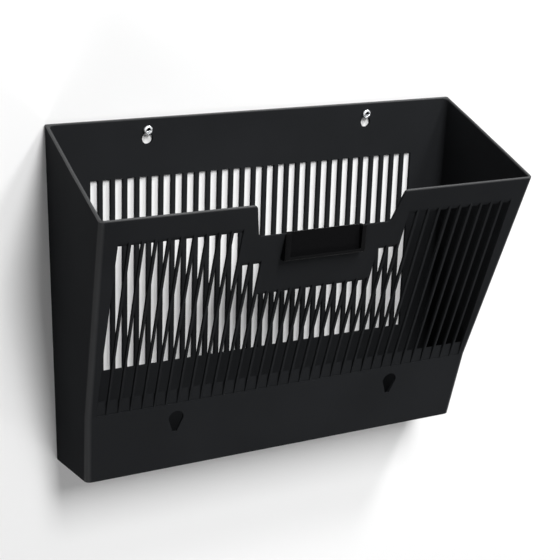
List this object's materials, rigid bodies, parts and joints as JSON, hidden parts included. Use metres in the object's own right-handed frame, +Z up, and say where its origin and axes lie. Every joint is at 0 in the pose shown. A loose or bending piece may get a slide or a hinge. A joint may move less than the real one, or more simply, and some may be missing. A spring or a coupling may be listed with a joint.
{
  "type": "wall letter tray",
  "caption": "Wall-hung letter tray: a deep flared pocket with a slotted stepped front, a hand notch with a label holder, and keyholes to hang it and to link a second tray.",
  "frame": {"origin": "on the tray's flat back face, on the centre line, midway between the two screws that it hangs on", "axes": "+X across the tray, to the right as seen from the room; +Y into the wall; +Z up"},
  "size_m": [0.369, 0.1525, 0.2717],
  "materials": {
    "tray_plastic": "semi-gloss black polystyrene",
    "card": "matte charcoal card",
    "screw_steel": "zinc plated",
    "plug_nylon": "grey nylon"
  },
  "bodies": {
    "wall_fixings": {"wall_screw_left": "screw_steel", "wall_screw_right": "screw_steel", "wall_plug_left": "plug_nylon", "wall_plug_right": "plug_nylon"},
    "tray": {"tray_shell": "tray_plastic", "label_holder": "tray_plastic"},
    "card": {"label_card": "card"}
  },
  "joints": [
    {"name": "tray_lift", "type": "slide", "parent": "wall_fixings", "child": "tray", "axis": [0, 0, 1], "range_m": [0, 0.00665]},
    {"name": "card_lift", "type": "slide", "parent": "tray", "child": "card", "axis": [0, 0, 1], "range_m": [0, 0.02]}
  ]
}
